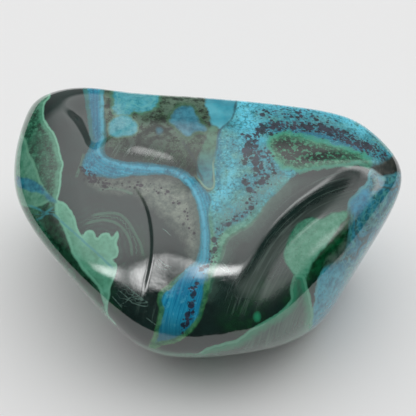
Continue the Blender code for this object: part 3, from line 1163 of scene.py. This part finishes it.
right_blue = mottled(0.36, 0.62, (22, 100, 120), (62, 144, 164))
bent = kept("right_blue") + (cloud - 0.5) * WAVE_BEND
brown_waves = maths("PINGPONG", bent, WAVE_SPACING)
right_blue = over(rise(brown_waves, 5.4, 7.2) * rise(mottle, 0.3, 0.5) * 0.8, right_blue, (70, 88, 84))
right_blue = over(rise(brown_waves, 2.0, 0.6) * 0.6, right_blue, (84, 164, 156))
right_blue = over(rise(patches, 0.54, 0.64) * 0.5, right_blue, (14, 84, 96))
right_blue = over(rise(lace, 0.12, 0.02) * rise(cloud, 0.45, 0.55) * 0.5, right_blue, (110, 176, 172))
right_blue = over(rise(blots, 0.58, 0.66) * 0.6, right_blue, (30, 78, 70))
low = mottled(0.36, 0.6, (18, 116, 140), (66, 164, 182))
low = over(rise(fine, 0.54, 0.64) * 0.6, low, (30, 84, 84))
right_blue = over(inside_of("low_blue", soft=4.0, wobble=8.0), right_blue, low)
bright = mottled(0.36, 0.6, (0, 104, 138), (40, 150, 184))
right_blue = over(inside_of("bright_blue", soft=6.0, wobble=12.0), right_blue, bright)
colour = over(inside_of("right_blue", wobble=7.0), colour, right_blue)
colour = over(rim_of("right_blue", 2.6, wobble=7.0) * 0.7, colour, (78, 166, 176))
brown = mottled(0.4, 0.6, (30, 40, 36), (62, 66, 60))
colour = over(inside_of("brown_wedge", soft=6.0, wobble=8.0), colour, brown)
# Painted reflection: grey laid where the rounded edge mirrors the floor.
reflection_tint = mottled(0.4, 0.6, (48, 74, 64), (84, 104, 94))
colour = over(inside_of("brown_shelf", soft=6.0, wobble=8.0), colour, reflection_tint)
# Painted shade: dark green laid along the right rim where the curve mirrors the dark front.
rim_shade_tint = mottled(0.4, 0.6, (2, 52, 26), (10, 82, 48))
colour = over(inside_of("green_shade", soft=8.0, wobble=10.0), colour, rim_shade_tint)
patch = mottled(0.36, 0.62, (54, 138, 106), (92, 162, 134))
patch = over(rise(fine, 0.58, 0.66) * 0.5, patch, (40, 112, 84))
colour = over(inside_of("right_patch", soft=2.5), colour, patch)
band = over(rise(streaks, 0.4, 0.62) * 0.6, (50, 78, 68), (84, 118, 104))
band = over(rise(kept("front_band") + (mottle - 0.5) * 6.0, 10.0, 4.0), band, (52, 134, 102))
colour = over(inside_of("front_band", soft=2.5, wobble=5.0), colour, band)
colour = over(rim_of("front_band", 2.6, at=1.0, wobble=5.0) * 0.6, colour, (98, 172, 142))
colour = over(inside_of("foot_band", soft=2.5, wobble=3.0) * 0.9, colour, (74, 132, 108))
colour = over(inside_of("green_spot", soft=4.0, wobble=2.0, shrink=1.2), colour, (36, 150, 108))
laid("the right side and the front")

# %% [markdown]
# ## Specks of cuprite
#
# Cuprite sits in the turquoise as dark round grains, single or grown together. Spheres would be thousands
# of meshes. A Voronoi texture has one cell for each grain. How closely the strokes crowd there, times a
# chance that is the cell's own, is how large the grain is. Fine noise adds the grains grown together.

# %% Specks of cuprite
BRIGHTNESS = (0.2126729, 0.7151522, 0.072175)

crowded = kept("speck_crowding")
clots = rise(grit + crowded * 0.2, 0.68, 0.75) * rise(crowded, 0.45, 0.8)


def highest(first, *others):
    """The largest of several fields, point by point."""
    for other in others:
        first = maths("MAXIMUM", first, other)
    return first


def dots(size):
    """Round dots in cells this many mm wide: crowding * (0.8 chance + 0.15) plus noise, less the distance.

    A cell's chance is the brightness of its random colour, 0.21 red + 0.72 green + 0.07 blue.
    """
    away = paint.node("ShaderNodeTexVoronoi", {"feature": "F1"},
                      {"Vector": place, "Scale": MM_IN_METRE / size})
    chance = paint.node("ShaderNodeVectorMath", {"operation": "DOT_PRODUCT"},
                        {0: away.beside("Color"), 1: BRIGHTNESS}, out="Value")
    return rise(crowded * (chance * 0.8 + 0.15) + (fine - 0.5) * 0.25 - away, 0.0, 0.16)


specks = highest(clots, dots(0.7), dots(1.35)) * rise(crowded, 0.05, 0.2)
speck_tint = mottled(0.4, 0.6, (22, 16, 30), (50, 40, 56))
colour = over(specks * 0.9, colour, speck_tint)
laid("the specks")

# %% [markdown]
# ## Gloss, wear and painted sheen
#
# The polish is a clear coat over a stone that is glossy by itself. Where softer minerals lie, and where
# the stone was rubbed, the coat is thinner and the ground rougher. Pale paint alone could stand for a dull
# place, but it wouldn't dim the reflections that cross it. A little of it is laid on too: partly the bruised
# grains, partly a painted sheen and painted glints where the rubbed places would catch the lamps.

# %% Tints of the streaks, scuffs and scratches, partly painted sheen and glints
worn = kept("streak_crowding")
# The pale streaks are partly scratches and partly painted glints of the lamps; the grey tints are partly
# painted sheen.
scratches_and_glints = rise(streaks, 0.54, 0.64) * worn
colour = over(worn * rise(fine, 0.3, 0.6) * 0.35, colour, (52, 68, 62))
colour = over(scratches_and_glints * 0.5, colour, (110, 134, 124))
scuffed = kept("scuffed") * rise(kept("right_patch"), 1.0, -1.5)
colour = over(scuffed * (rise(streaks, 0.4, 0.6) * 0.5 + 0.5) * 0.6, colour, (88, 104, 96))
colour = over(line_of("scratches", 0.9) * rise(fine, 0.3, 0.55) * 0.4, colour, (140, 176, 164))
laid("the wear")

# %% How rough the stone is, and how thick its coat
ROUGHNESS = {"polish": 0.05, "worn": 0.14, "soft stone": 0.06, "pits": 0.05, "smears": 0.05, "scuffed": 0.28}
DULLING = {"worn": 0.3, "specks": 0.7, "scuffed": 0.8, "dome": 0.85, "soft stone": 0.6}

soft_stone = highest(inside_of("turquoise"), inside_of("blue_vein"), inside_of("right_patch"),
                     inside_of("right_blue") * 0.8)
smears = rise(patches, 0.42, 0.66)
roughness = (ROUGHNESS["polish"] + worn * ROUGHNESS["worn"] + soft_stone * ROUGHNESS["soft stone"]
             + rise(fine, 0.55, 0.7) * ROUGHNESS["pits"] + smears * ROUGHNESS["smears"])
dome_dull = inside_of("dome", soft=8.0) * rise(clouding, 0.54, 0.45) * rise(down, 156.0, 128.0)
dulled = highest(worn * DULLING["worn"], specks * DULLING["specks"], scuffed * DULLING["scuffed"],
                 dome_dull * DULLING["dome"])
coat = (1.0 - soft_stone * DULLING["soft stone"]) * (1.0 - dulled)
print("roughness from", ROUGHNESS["polish"], "up to", round(sum(ROUGHNESS.values()), 2))

# %% The polished shader
STONE_IOR = 1.7
COAT_IOR = 1.5
COAT_ROUGHNESS = 0.03
BUMP_STRENGTH = 0.35
BUMP_HEIGHT = 0.0002
RELIEF = {"worn streaks": 0.6, "clouds": 0.8, "mottles": 0.10, "specks": 0.05}

height = (streaks * worn * RELIEF["worn streaks"] + cloud * RELIEF["clouds"]
          + mottle * RELIEF["mottles"] - specks * RELIEF["specks"])
bump = paint.node("ShaderNodeBump", None,
                  {"Strength": BUMP_STRENGTH, "Distance": BUMP_HEIGHT, "Height": height})
paint.feed(paint.tree.nodes["Principled BSDF"], {
    "Base Color": colour,
    "Roughness": roughness + scuffed * ROUGHNESS["scuffed"],
    "Normal": bump,
    "IOR": STONE_IOR,
    "Coat Weight": coat,
    "Coat Roughness": COAT_ROUGHNESS,
    "Coat IOR": COAT_IOR,
})
print(len(paint.tree.nodes), "nodes in the finish")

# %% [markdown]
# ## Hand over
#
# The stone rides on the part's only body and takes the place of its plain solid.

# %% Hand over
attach(stone, "root")
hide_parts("stone")
